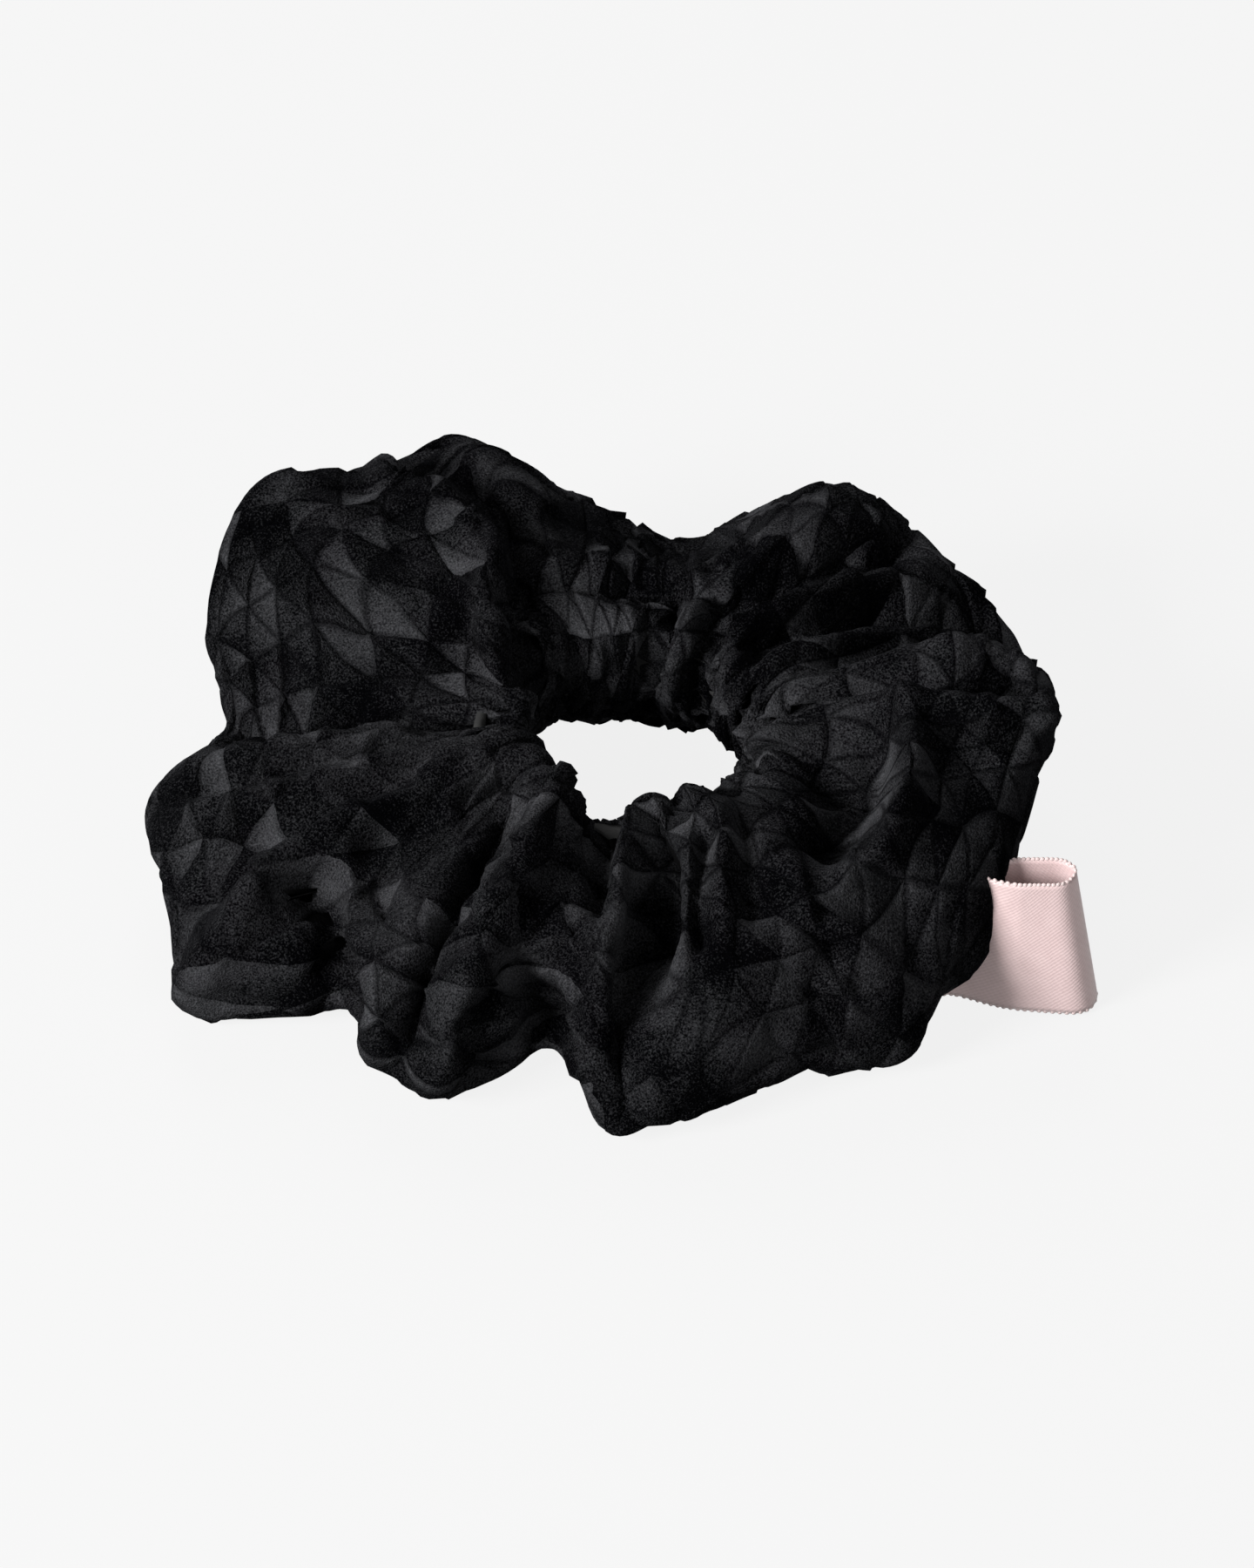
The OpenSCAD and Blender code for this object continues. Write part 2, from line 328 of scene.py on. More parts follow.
def section(angle):
    """Corners of the tube's section at one ring angle, as (share of the way round, out, up)."""
    edge_out, edge_up, top_out, top_up, crown_up, foot_out, foot_up = (
        from_table(angle, column) * MM for column in range(1, 8))
    hole_up = -FLOOR_Z
    shoulder = BULGE * abs(top_up - edge_up)
    belly = BULGE * abs(edge_up - foot_up)
    return [
        (0.00, edge_out, edge_up),
        (0.11, (edge_out + top_out) / 2 + shoulder, (edge_up + top_up) / 2 + shoulder),
        (0.22, top_out, top_up),
        (0.40, HOLE_R + CROWN_OUT, crown_up),
        (0.50, HOLE_R + CROWN_GAP, hole_up),
        (0.60, HOLE_R + 1.5 * CROWN_OUT, hole_up - 9 * MM),
        (0.75, (foot_out + HOLE_R) / 2 + 4 * MM, foot_up),
        (0.86, foot_out, foot_up),
        (0.94, (edge_out + foot_out) / 2 + belly, (edge_up + foot_up) / 2 - belly / 2),
    ]


def on_section(corners, round_):
    """A point of the smooth closed curve through the section's corners."""
    count = len(corners)
    after = next((i for i, corner in enumerate(corners) if corner[0] > round_), count)
    four = [(corners[i % count][0] + i // count, corners[i % count]) for i in range(after - 2, after + 2)]
    (t0, p0), (t1, p1), (t2, p2), (t3, p3) = four
    span = t2 - t1
    share = (round_ - t1) / span
    weights = (2 * share ** 3 - 3 * share ** 2 + 1, share ** 3 - 2 * share ** 2 + share,
               3 * share ** 2 - 2 * share ** 3, share ** 3 - share ** 2)
    return [weights[0] * p1[k] + weights[1] * (p2[k] - p0[k]) / (t2 - t0) * span
            + weights[2] * p2[k] + weights[3] * (p3[k] - p1[k]) / (t3 - t1) * span for k in (1, 2)]


def gather(angle):
    """1 in the crease between two gathers and 0 on their rounded backs."""
    a = math.radians(angle)
    uneven = GATHERS * a / 2 + 0.9 * math.sin(2 * a + 1.0) + 0.5 * math.sin(5 * a)
    return 1 - math.sqrt(abs(math.sin(uneven)))


def start_shape(along, round_):
    angle = 360 * along
    r, up = on_section(section(angle), round_)
    away = max(r - HOLE_R, 0) / GATHER_REACH
    crease = GATHER_DEPTH * gather(angle) * math.exp(-away ** 2)
    r += crease
    if round_ < 0.5:
        up -= crease * 0.8
    a = math.radians(angle)
    return Vector((r * math.cos(a), r * math.sin(a), FLOOR_Z + max(up, 0.4 * MM)))


def smooth_column(along):
    """The column of points at one ring angle, laid smooth: as long round the tube as it is in the ruffle."""
    column = [start_shape(along, j / ROWS_ROUND) for j in range(ROWS_ROUND + 1)]
    ends = [0.0]
    for before, after in zip(column, column[1:]):
        ends.append(ends[-1] + (after - before).length)
    wide = (SMOOTH_OUT - SMOOTH_IN) / 2
    tall = ends[-1] / math.pi - wide
    a = 2 * math.pi * along
    smooth = []
    for end in ends[:-1]:
        turn = 2 * math.pi * end / ends[-1]
        r = SMOOTH_IN + wide + wide * math.cos(turn)
        smooth.append(Vector((r * math.cos(a), r * math.sin(a), tall * math.sin(turn))))
    return smooth


starts = [start_shape(*p) for p in places]
smooth_columns = [smooth_column(i / ROWS_ALONG) for i in range(ROWS_ALONG)]
smooths = [smooth_columns[round(along * ROWS_ALONG) % ROWS_ALONG][round(round_ * ROWS_ROUND) % ROWS_ROUND]
           for along, round_ in places]
print("start shape reaches", round(max(v.xy.length for v in starts) / MM, 1), "mm")

# %% [markdown]
# The simulation runs at twenty times real size, because the solver is tuned for things of a metre or so.
# The innermost row is pinned where the elastic holds it, air pressure stands for the springy wadding, and a
# high bending stiffness keeps the folds as broad as padded cloth makes them.

# %% Simulate the gathers
SIM_SCALE = 20
SIM_FRAMES = 14
MOST_MOVE = 4 * MM
FREE_R, STEADY_R = 20 * MM, 40 * MM   # the cloth moves most inside the first, and least outside the second
MOST_FREE, LEAST_FREE = 0.35, 0.15
BAND_HALF = elastic_high.z + 1.5 * MM
BAND_R = -elastic_low.x - 2.6 * MM


def simulate_cloth(mesh, starts, smooths):
    """The places of the mesh's points after the cloth has settled."""
    obj = bpy.data.objects.new("cloth_test", mesh)
    bpy.context.scene.collection.objects.link(obj)
    obj.shape_key_add(name="start")
    key = obj.shape_key_add(name="smooth")
    for i, (start, smooth) in enumerate(zip(starts, smooths)):
        obj.data.shape_keys.key_blocks["start"].data[i].co = start * SIM_SCALE
        mesh.vertices[i].co = start * SIM_SCALE
        key.data[i].co = smooth * SIM_SCALE
    held = obj.vertex_groups.new(name="held_by_elastic")
    held.add([i for i, p in enumerate(places) if abs(p[1] - 0.5) < 0.2 / ROWS_ROUND], 1.0, "REPLACE")
    cloth = obj.modifiers.new("Cloth", "CLOTH")
    settings = cloth.settings
    settings.quality = 6
    settings.mass = 0.3
    settings.air_damping = 2
    settings.tension_stiffness = settings.compression_stiffness = 15
    settings.shear_stiffness = 5
    settings.bending_stiffness = 60
    settings.tension_damping = settings.compression_damping = settings.shear_damping = 5
    settings.vertex_group_mass = held.name
    settings.use_pressure = True
    settings.uniform_pressure_force = 4
    settings.rest_shape_key = key
    settings.effector_weights.gravity = 0
    cloth.collision_settings.use_self_collision = True
    cloth.collision_settings.self_distance_min = 0.03
    cloth.collision_settings.self_friction = 5
    cloth.collision_settings.collision_quality = 3
    cloth.collision_settings.distance_min = 0.01
    ground_mesh = bpy.data.meshes.new("ground")
    ground_bm = bmesh.new()
    bmesh.ops.create_grid(ground_bm, x_segments=1, y_segments=1, size=3)
    bmesh.ops.translate(ground_bm, vec=(0, 0, FLOOR_Z * SIM_SCALE), verts=ground_bm.verts)
    ground_bm.to_mesh(ground_mesh)
    ground_bm.free()
    ground = bpy.data.objects.new("ground", ground_mesh)
    bpy.context.scene.collection.objects.link(ground)
    ground.modifiers.new("Collision", "COLLISION")
    cloth.point_cache.frame_start, cloth.point_cache.frame_end = 1, SIM_FRAMES
    for number in range(1, SIM_FRAMES + 1):
        bpy.context.scene.frame_set(number)
    settled = obj.evaluated_get(bpy.context.evaluated_depsgraph_get()).data
    found = [v.co / SIM_SCALE for v in settled.vertices]
    bpy.context.scene.frame_set(1)
    bpy.data.objects.remove(ground)
    bpy.data.objects.remove(obj)
    return found


def settle(starts, smooths):
    """The settled places, with no point further than MOST_MOVE from where it started."""
    mesh = bpy.data.meshes.new("cloth_test")
    bm.to_mesh(mesh)
    capped = []
    for start, end in zip(starts, simulate_cloth(mesh, starts, smooths)):
        move = end - start
        if move.length > MOST_MOVE:
            move *= MOST_MOVE / move.length
        steadied = min(max((start.xy.length - FREE_R) / (STEADY_R - FREE_R), 0), 1)
        move *= MOST_FREE + (LEAST_FREE - MOST_FREE) * steadied
        place = start + move
        place.xy *= max(1.0, HOLE_R / place.xy.length)
        place.z = max(place.z, FLOOR_Z + 0.5 * MM)
        if abs(place.z) < BAND_HALF and start.xy.length < BAND_R + MOST_MOVE:
            place.xy *= min(1.0, BAND_R / place.xy.length)
        capped.append(place)
    return capped


settled = settle(starts, smooths)
for vert, place in zip(bm.verts, settled):
    vert.co = place
moved = max((a - b).length for a, b in zip(starts, settled))
print("the cloth moved up to", round(moved / MM, 1), "mm")


# %% [markdown]
# Two rounds of subdivision smooth the folds. Single folds are then drawn on the cloth as a sculptor would who
# sits at the camera: each is one stroke of a soft round tool along a few points, given in millimetres across
# and up as the camera sees them. Positive lifts a ridge and negative presses a crease.

# %% The single folds
STROKES = [
    # what it is, its points, width, lift
    ("deep front fold", [(4.5, 5), (4, -1), (3.5, -7.5), (1.5, -15), (-0.5, -23), (-1, -32)], 2.6, -6.5),
    ("roll left of it", [(1, 6), (-0.5, -1), (-1, -8), (-2.5, -15)], 1.8, 1.8),
    ("crease right of it", [(10.5, 3), (9.5, -4), (9.5, -10)], 1.3, -3.0),
    ("thin roll", [(12.5, 5), (11.5, -3), (12, -9)], 1.5, 1.6),
    ("crease beside the roll", [(15, 5), (16, -1), (16, -7)], 1.3, -2.0),
    ("crease left of the front roll", [(-1.5, 6), (-3, 0), (-3.5, -5)], 1.5, -4.2),
    ("front left puff's back", [(-9, 7), (-12, 1), (-15, -5), (-18, -11), (-20.5, -17), (-23.5, -26)], 2.6, 3.4),
    ("crease left of that puff", [(-15, 5), (-19, -1), (-22.5, -7.5), (-25, -15), (-27, -23)], 1.8, -4.5),
    ("long pressed line", [(-21, -10.5), (-14.5, -10.5), (-8, -12), (-3.5, -11.5)], 0.9, -1.0),
    ("notch", [(-13, -14), (-11, -18), (-9.5, -22)], 2.4, -4.0),
    ("left ridge, lower", [(-53, -16), (-49, -10), (-45, -3.5), (-41, 0.5), (-35.5, 4), (-28.5, 7), (-20.5, 10.5),
                           (-13.5, 12), (-6.5, 10)], 2.5, 4.2),
    ("its tip over the hole", [(-12, 9.5), (-6.5, 8)], 2.6, 2.0),
    ("hollow under it", [(-40, -3), (-38, -6), (-36, -11.5), (-34, -17.5)], 3.0, -5.0),
    ("ridge beside the hollow", [(-34.5, 0), (-33.5, -6), (-32, -15), (-30, -24)], 1.9, 3.0),
    ("valley above the lower ridge", [(-52.5, -5), (-48, 1), (-42, 4), (-35, 7), (-26, 10)], 2.0, -3.6),
    ("left ridge, middle", [(-53, 6), (-46, 8), (-39.5, 9.5), (-33, 11.5), (-26, 13)], 1.5, 1.6),
    ("groove above it", [(-54.5, 8.5), (-46, 10.5), (-38, 12), (-32, 13.5), (-25, 14.5)], 1.2, -1.8),
    ("left ridge, upper", [(-53, 11), (-48, 13), (-38, 14.5), (-29, 15.5), (-22, 14), (-15, 12.5)], 1.5, 1.4),
    ("crease under the back left puff", [(-49, 16.5), (-38, 17.5), (-29, 18.5), (-22, 17), (-14, 15)], 1.5, -3.4),
    ("back left puff's ridge", [(-30, 47), (-22, 43), (-17, 39), (-17, 34.5), (-16, 27.5), (-14.5, 20), (-14.5, 15)], 2.2, 3.6),
    ("valley behind it", [(-14, 41), (-12.5, 34.5), (-11.5, 27.5), (-9.5, 20)], 2.4, -5.0),
    ("back fold, ridge", [(-10, 37), (0.5, 36.5), (9, 35)], 1.6, 1.8),
    ("back fold, crease", [(-9.5, 34.5), (1, 34), (8.5, 33)], 1.1, -2.2),
    ("pinch, left crease", [(6, 32), (5, 27.5), (3.5, 23.5), (2.5, 19)], 1.4, -2.8),
    ("pinch, column", [(8.5, 32), (7.5, 27), (6.5, 21)], 1.5, 1.5),
    ("pinch, right crease", [(11.5, 33), (10.5, 27), (9.5, 21.5), (10, 15)], 1.4, -2.8),
    ("back right, crease at the hole", [(17, 25), (15, 20), (15, 13)], 1.6, -2.2),
    ("back right puff's valley", [(14, 33.5), (21, 36.5), (28.5, 39), (35, 39)], 2.0, -4.2),
    ("valley behind the right ridge", [(17, 27.5), (23, 29.5), (29.5, 31), (36.5, 31), (43.5, 30), (50.5, 26.5)], 2.4, -4.5),
    ("right ridge, back", [(17, 24), (23, 26), (29.5, 27.5), (36.5, 28), (43.5, 27), (50, 23.5)], 2.2, 3.0),
    ("groove on the right", [(19, 18), (23, 19.5), (28.5, 21.5), (35, 22), (42, 22), (49, 21)], 1.6, -4.2),
    ("right ridge, front", [(18.5, 13.5), (21.5, 16), (27, 18), (32.5, 19), (36, 19), (43.5, 19), (51.5, 18)], 2.0, 3.2),
    ("pocket", [(25, 11), (30, 13), (28, 7.5), (25.5, 3.5)], 3.2, -6.5),
    ("lip of the pocket", [(36, 17.5), (36.5, 12), (35.5, 6.5), (33, 1.5), (28, -2)], 1.9, 4.0),
    ("swell under the lip", [(20, -1), (21, -8)], 3.5, 1.5),
]
SEEN_BLUR = 4         # rounds of blurring between what the camera sees and what it does not
VIEW_ZERO = Vector((0.5, 9.5)) * MM   # the looked-at point, as the strokes count across and up
LEAST_ROOM = 3.5 * MM   # a crease stops this far from the other side of the tube


def baked(obj):
    """The object's mesh with its modifiers applied."""
    mesh = bpy.data.meshes.new_from_object(obj.evaluated_get(bpy.context.evaluated_depsgraph_get()))
    obj.modifiers.clear()
    obj.data = mesh
    return mesh


def subdivided(obj):
    """The object's mesh after one round of subdivision: its old points come first, and keep their order."""
    smoother = obj.modifiers.new("Subdivision", "SUBSURF")
    smoother.levels = smoother.render_levels = 1
    return baked(obj)


def distance_to_line(points, line):
    """How far each point is from a line of straight runs."""
    nearest = np.full(len(points), np.inf)
    for start, end in zip(line, line[1:]):
        run = end - start
        share = np.clip((points - start) @ run / (run @ run), 0, 1)
        nearest = np.minimum(nearest, np.linalg.norm(points - start - share[:, None] * run, axis=1))
    return nearest


def point_array(mesh):
    return np.array([v.co for v in mesh.vertices])


def set_points(mesh, points):
    mesh.vertices.foreach_set("co", points.astype(np.float32).ravel())
    mesh.update()


def as_seen(points):
    """Where the camera sees each point: how far across and up, at the distance that it looks at."""
    way = np.array(camera.rotation_euler.to_matrix())
    seen = (points - np.array(camera.location)) @ way
    return seen[:, :2] / -seen[:, 2:] * CAMERA_AWAY + np.array(VIEW_ZERO)


def plain_to_see(mesh):
    """1 where the camera sees the cloth face on, 0 where it is hidden, and a slow change between."""
    tree = BVHTree.FromPolygons([v.co for v in mesh.vertices], [p.vertices for p in mesh.polygons])
    seen = np.zeros(len(mesh.vertices))
    for vert in mesh.vertices:
        way = (camera.location - vert.co).normalized()
        facing = vert.normal.dot(way)
        if facing > 0 and tree.ray_cast(vert.co + (vert.normal + way) * 0.3 * MM, way)[0] is None:
            seen[vert.index] = min(facing / 0.35, 1)
    one, other = np.array([e.vertices[:] for e in mesh.edges]).T
    count = np.bincount(one, minlength=len(seen)) + np.bincount(other, minlength=len(seen))
    for _ in range(SEEN_BLUR):
        beside = np.bincount(one, seen[other], len(seen)) + np.bincount(other, seen[one], len(seen))
        seen = (seen + beside / count) / 2
    return seen, tree


def draw_strokes(mesh):
    """Lift or press the mesh along its normals beside each stroke, where the camera sees it."""
    points = point_array(mesh)
    places = as_seen(points)
    moves = np.zeros(len(points))
    for name, line, width, lift in STROKES:
        line = np.array(line) * MM
        moves += lift * MM * np.exp(-(distance_to_line(places, line) / (width * MM)) ** 2)
    seen, tree = plain_to_see(mesh)
    moves *= seen
    for vert in mesh.vertices:
        if moves[vert.index] < -0.5 * MM:
            _, _, _, room = tree.ray_cast(vert.co - vert.normal * 0.3 * MM, -vert.normal)
            moves[vert.index] = max(moves[vert.index], min(LEAST_ROOM - (room or 0), 0) * 0.6)
    normals = np.array([v.normal for v in mesh.vertices])
    drawn = points + normals * moves[:, None]
    out = np.linalg.norm(drawn[:, :2], axis=1)
    wall = (np.abs(drawn[:, 2]) < BAND_HALF) & (np.linalg.norm(points[:, :2], axis=1) < BAND_R + MM) & (out > BAND_R)
    drawn[wall, :2] *= (BAND_R / out[wall])[:, None]
    set_points(mesh, drawn)


cover_mesh = bpy.data.meshes.new("cover")
bm.to_mesh(cover_mesh)
cover = bpy.data.objects.new("cover", cover_mesh)
bpy.context.scene.collection.objects.link(cover)
coarse_mesh = subdivided(cover).copy()
cover_mesh = subdivided(cover)
draw_strokes(cover_mesh)
print("cover:", len(cover_mesh.polygons), "faces,", len(STROKES), "strokes")

# %% [markdown]
# Then the pattern is pressed in: rows of crushed triangles. Each triangle is a facet with its own slight
# tilt, a little proud in its middle, and a pressed line runs between it and the next. The UV map is first
# warped a little, because the real press lines wander, and then holds the pattern's own rows and columns, so
# that the pressed shape and the material can both read them.

# %% Press the pattern into the cloth
PATTERN_ROWS = 18
PATTERN_COLUMNS = 46
ROW_H = CLOTH_W / PATTERN_ROWS
TRIANGLE_W = CLOTH_L / PATTERN_COLUMNS
LINE_HALF = 0.8 * MM
PILLOW = 0.15 * MM
TILT = 1.3 * MM
SEAM_DEPTH = 0.8 * MM
WANDER = ((50, 0.8), (130, 0.25))     # how far the lines wander, in rows: slowly, and a little from line to line


def warp_pattern(mesh):
    """Turn the UV map into pattern rows and columns, and return those of each point."""
    layer = mesh.uv_layers["Cloth"].data
    wander = [sum((noise.noise_vector(v.co * scale) * far for scale, far in WANDER), Vector()) for v in mesh.vertices]
    values = {}
    for loop in mesh.loops:
        place = layer[loop.index].uv
        shift = wander[loop.vertex_index]
        warped = Vector((place.x * PATTERN_COLUMNS + shift.x, place.y * PATTERN_ROWS + shift.y))
        layer[loop.index].uv = warped
        values.setdefault(loop.vertex_index, warped.copy())
    return values


def near_whole(value):
    """How far a value is from a whole number."""
    return abs(value - round(value))


def line_distance(column, row):
    """How far a place on the cloth is from the nearest pressed line, in metres."""
    slanted = TRIANGLE_W * math.cos(math.atan2(TRIANGLE_W / 2, ROW_H))
    return min(near_whole(row) * ROW_H,
               near_whole(column + row / 2) * slanted,
               near_whole(column - row / 2) * slanted)


def pressed_height(column, row, where):
    """How far the cloth stands proud at a place of the pattern, less what the two seams draw in."""
    right, left = column + row / 2, column - row / 2
    cell = Vector((math.floor(row), math.floor(right), math.floor(left))) + Vector((0.5, 0.5, 0.5))
    way = 2 * math.pi * noise.cell(cell * 1.7)
    tilt = (row % 1 - 0.5) * math.cos(way) + ((right % 1 - 0.5) + (left % 1 - 0.5)) * 0.6 * math.sin(way)
    crushed = min(max(0.8 + 1.1 * noise.noise(where * 40), 0.15), 1.5)
    pillow = 1 - math.exp(-((line_distance(column, row) / LINE_HALF) ** 2))
    height = crushed * (PILLOW * pillow + TILT * tilt)
    closing = near_whole(column / PATTERN_COLUMNS) * CLOTH_L
    lengthwise = near_whole(row / PATTERN_ROWS) * CLOTH_W
    for distance in (closing, lengthwise):
        height -= SEAM_DEPTH * math.exp(-((distance / (1.5 * MM)) ** 2))
    return height


normals = [v.normal.copy() for v in cover_mesh.vertices]
pattern = warp_pattern(cover_mesh)
for vert in cover_mesh.vertices:
    vert.co += normals[vert.index] * pressed_height(*pattern[vert.index], vert.co)
    vert.co.z = max(vert.co.z, FLOOR_Z + 0.05 * MM)
print("pattern:", PATTERN_ROWS, "rows of", PATTERN_COLUMNS, "pairs of triangles")

# %% [markdown]
# A sheet needs two sides. The Solidify modifier gives the velvet its thickness inwards, so the outer face
# stays where the folds are.

# %% Give the velvet its thickness
VELVET_T = 0.8 * MM
outer_cover = bpy.data.objects.new("outer_cover", cover_mesh.copy())
bpy.context.scene.collection.objects.link(outer_cover)
thickness = cover.modifiers.new("Solidify", "SOLIDIFY")
thickness.thickness = VELVET_T
thickness.offset = -1
cover_mesh = baked(cover)
for face in cover_mesh.polygons:
    face.use_smooth = True
print("cover:", len(cover_mesh.polygons), "faces, area", round(sum(f.area for f in cover_mesh.polygons), 4), "m2")


# %% [markdown]
# ## Velvet
# Velvet is black where one looks along its pile and grey where the pile turns away. Here the sheen lobe is
# faint: the greys are in the nearly black base colour, which holds the velvet's own tones and painted light. The
# pressed lines show in the shading too: their exact edges come from the UV map, with the same rows and slants
# as the pressed shape, and painted shade darkens them. Each triangle's pile lies its own way, so each takes its
# own slight lightness, and painted shade across its row stands in for the light on its tilt. Fine noise gives
# the pile's speckle with painted glints, and broad noise the patches where it has been brushed.

# %% Velvet material
def velvet_material():
    material, tree, shader = new_material(
        "velvet", Roughness=0.85, Specular_IOR_Level=0.0, Sheen_Weight=0.01, Sheen_Roughness=0.4,
        Sheen_Tint=(0.85, 0.87, 0.95, 1))
    uv = add_node(tree, "ShaderNodeUVMap", uv_map="Cloth").outputs[0]
    split = add_node(tree, "ShaderNodeSeparateXYZ", {0: uv})
    column, row = split.outputs[0], split.outputs[1]
    right = math_node(tree, "MULTIPLY_ADD", row, 0.5, column)
    left = math_node(tree, "MULTIPLY_ADD", row, -0.5, column)
    distances = [math_node(tree, "PINGPONG", value, 0.5) for value in (row, right, left)]
    nearest = math_node(tree, "MINIMUM", distances[0], math_node(tree, "MINIMUM", distances[1], distances[2]))
    pillow = add_node(tree, "ShaderNodeMapRange", {0: nearest, 1: 0.0, 2: 0.11, 3: 0.0, 4: 1.0},
                      interpolation_type="SMOOTHSTEP").outputs[0]
    cell = add_node(tree, "ShaderNodeCombineXYZ", {
        0: math_node(tree, "FLOOR", row), 1: math_node(tree, "FLOOR", right), 2: math_node(tree, "FLOOR", left)})
    lay = add_node(tree, "ShaderNodeTexWhiteNoise", {0: cell.outputs[0]}, noise_dimensions="3D").outputs[0]
    place = add_node(tree, "ShaderNodeTexCoord").outputs["Object"]
    pile = add_node(tree, "ShaderNodeTexNoise", {"Vector": place, "Scale": 4000.0, "Detail": 2.0}).outputs[0]
    patches = add_node(tree, "ShaderNodeTexNoise", {"Vector": place, "Scale": 90.0, "Detail": 3.0}).outputs[0]
    crush = add_node(tree, "ShaderNodeTexNoise", {"Vector": place, "Scale": 40.0, "Detail": 1.0}).outputs[0]
    crushed = add_node(tree, "ShaderNodeMapRange", {0: crush, 1: 0.35, 2: 0.6, 3: 0.25, 4: 1.0}).outputs[0]
    parts = [math_node(tree, "FRACT", value) for value in (row, right, left)]
    way = math_node(tree, "MULTIPLY", lay, 2 * math.pi)
    upward = math_node(tree, "MULTIPLY", math_node(tree, "SUBTRACT", parts[0], 0.5), math_node(tree, "COSINE", way))
    sideways = math_node(tree, "MULTIPLY", math_node(tree, "SUBTRACT", math_node(tree, "ADD", parts[1], parts[2]), 1.0),
                         math_node(tree, "MULTIPLY", math_node(tree, "SINE", way), 0.6))
    tilt = math_node(tree, "MULTIPLY", math_node(tree, "ADD", upward, sideways), crushed)
    # Each triangle's own random lightness for its pile lay, times painted shade that grows across its row and stands in
    # for the light on its tilt.
    facet_lay_and_shade = math_node(tree, "MULTIPLY", math_node(tree, "POWER", lay, 1.5), math_node(tree, "ADD", parts[0], 0.3))
    # The pile's fine speckle of lighter fibres, with painted glints.
    pile_speckle_and_glints = math_node(tree, "MULTIPLY_ADD", pile, 1.5, -0.86)
    cloudy = math_node(tree, "MULTIPLY_ADD", patches, 1.2, -0.42)
    # The velvet's own tones, with the painted triangle shade and the painted glints in them.
    tones_shade_and_glints = math_node(tree, "ADD", math_node(tree, "MULTIPLY", facet_lay_and_shade, 0.48), math_node(tree, "ADD", pile_speckle_and_glints, cloudy))
    # Painted shade in the pressed lines, deeper where the cloth is more crushed.
    painted_line_shade = math_node(tree, "MULTIPLY_ADD", math_node(tree, "SUBTRACT", pillow, 1.0), math_node(tree, "MULTIPLY", crushed, 0.55), 1.0)
    tone = math_node(tree, "POWER", math_node(tree, "MAXIMUM", math_node(tree, "MULTIPLY", tones_shade_and_glints, painted_line_shade), 0.0), 1.3)
    colours = add_node(tree, "ShaderNodeMix", {0: tone, 6: (0.0006, 0.0006, 0.0008, 1), 7: (0.047, 0.0475, 0.051, 1)},
                       data_type="RGBA")
    tree.links.new(colours.outputs[2], shader.inputs["Base Color"])
    tilted = add_node(tree, "ShaderNodeBump", {"Height": tilt, "Strength": 1.0, "Distance": 3.5 * MM})
    soft = add_node(tree, "ShaderNodeBump", {
        "Height": pillow, "Strength": 0.4, "Distance": 0.4 * MM, "Normal": tilted.outputs[0]})
    fine = add_node(tree, "ShaderNodeBump", {
        "Height": pile, "Strength": 0.8, "Distance": 0.3 * MM, "Normal": soft.outputs[0]})
    tree.links.new(fine.outputs[0], shader.inputs["Normal"])
    return material


cover_mesh.materials.clear()
cover_mesh.materials.append(velvet_material())

# %% [markdown]
# The cover crosses the joint that stretches the loop, but it is made as one piece: it runs right round the
# loop and takes the place of all six lengths of velvet, whose solids are hidden.

# %% Cover: the solids it replaces
LENGTHS = ["left_end", "back_left", "back_right", "right_end", "front_right", "front_left"]


def stretches(obj, kind):
    """The piece runs right round the loop, and stands for all six lengths of one kind of node."""
    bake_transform(obj)
    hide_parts(*[f"{kind}_{length}" for length in LENGTHS])


stretches(cover, "velvet")

# %% [markdown]
# ## Wadding
# The wadding lies against the velvet's inner face. It is made from every other point of the cover, moved
# inwards, so it stays under the cover in every fold. It is near black, so where it shows through the cover's
# deepest folds it passes for their shade.

# %% Wadding
def soft_material(name, colour, scale):
    """A matt fibrous material. Only pale fibres catch the light as a sheen."""
    sheen = 0.2 if colour[0] > 0.3 else 0.0
    material, tree, shader = new_material(name, Roughness=0.9, Specular_IOR_Level=sheen, Sheen_Weight=sheen)
    place = add_node(tree, "ShaderNodeTexCoord").outputs["Object"]
    fibres = add_node(tree, "ShaderNodeTexNoise", {"Vector": place, "Scale": scale, "Detail": 4.0}).outputs[0]
    dark = tuple(0.6 * c for c in colour[:3]) + (1,)
    mix = add_node(tree, "ShaderNodeMix", {0: fibres, 6: dark, 7: colour}, data_type="RGBA")
    tree.links.new(mix.outputs[2], shader.inputs["Base Color"])
    bump = add_node(tree, "ShaderNodeBump", {"Height": fibres, "Strength": 0.5, "Distance": 0.2 * MM})
    tree.links.new(bump.outputs[0], shader.inputs["Normal"])
    return material


WADDING_T = 1.6 * MM
outer_face = BVHTree.FromObject(outer_cover, bpy.context.evaluated_depsgraph_get())


def sunk(point, depth, middle):
    """The point, moved towards the middle of the tube until it is this deep under the cover's outer face."""
    for _ in range(16):
        near, normal, _, _ = outer_face.find_nearest(point)
        if (near - point).dot(normal) >= depth:
            break
        point = point.lerp(middle, 0.12)
    return point


def tube_middle(along):
    """The middle of the tube's section at one place along the strip."""
    a = 2 * math.pi * along
    return Vector((33 * MM * math.cos(a), 33 * MM * math.sin(a), FLOOR_Z + 12 * MM))


def along_ring(point):
    return math.atan2(point.y, point.x) / (2 * math.pi) % 1


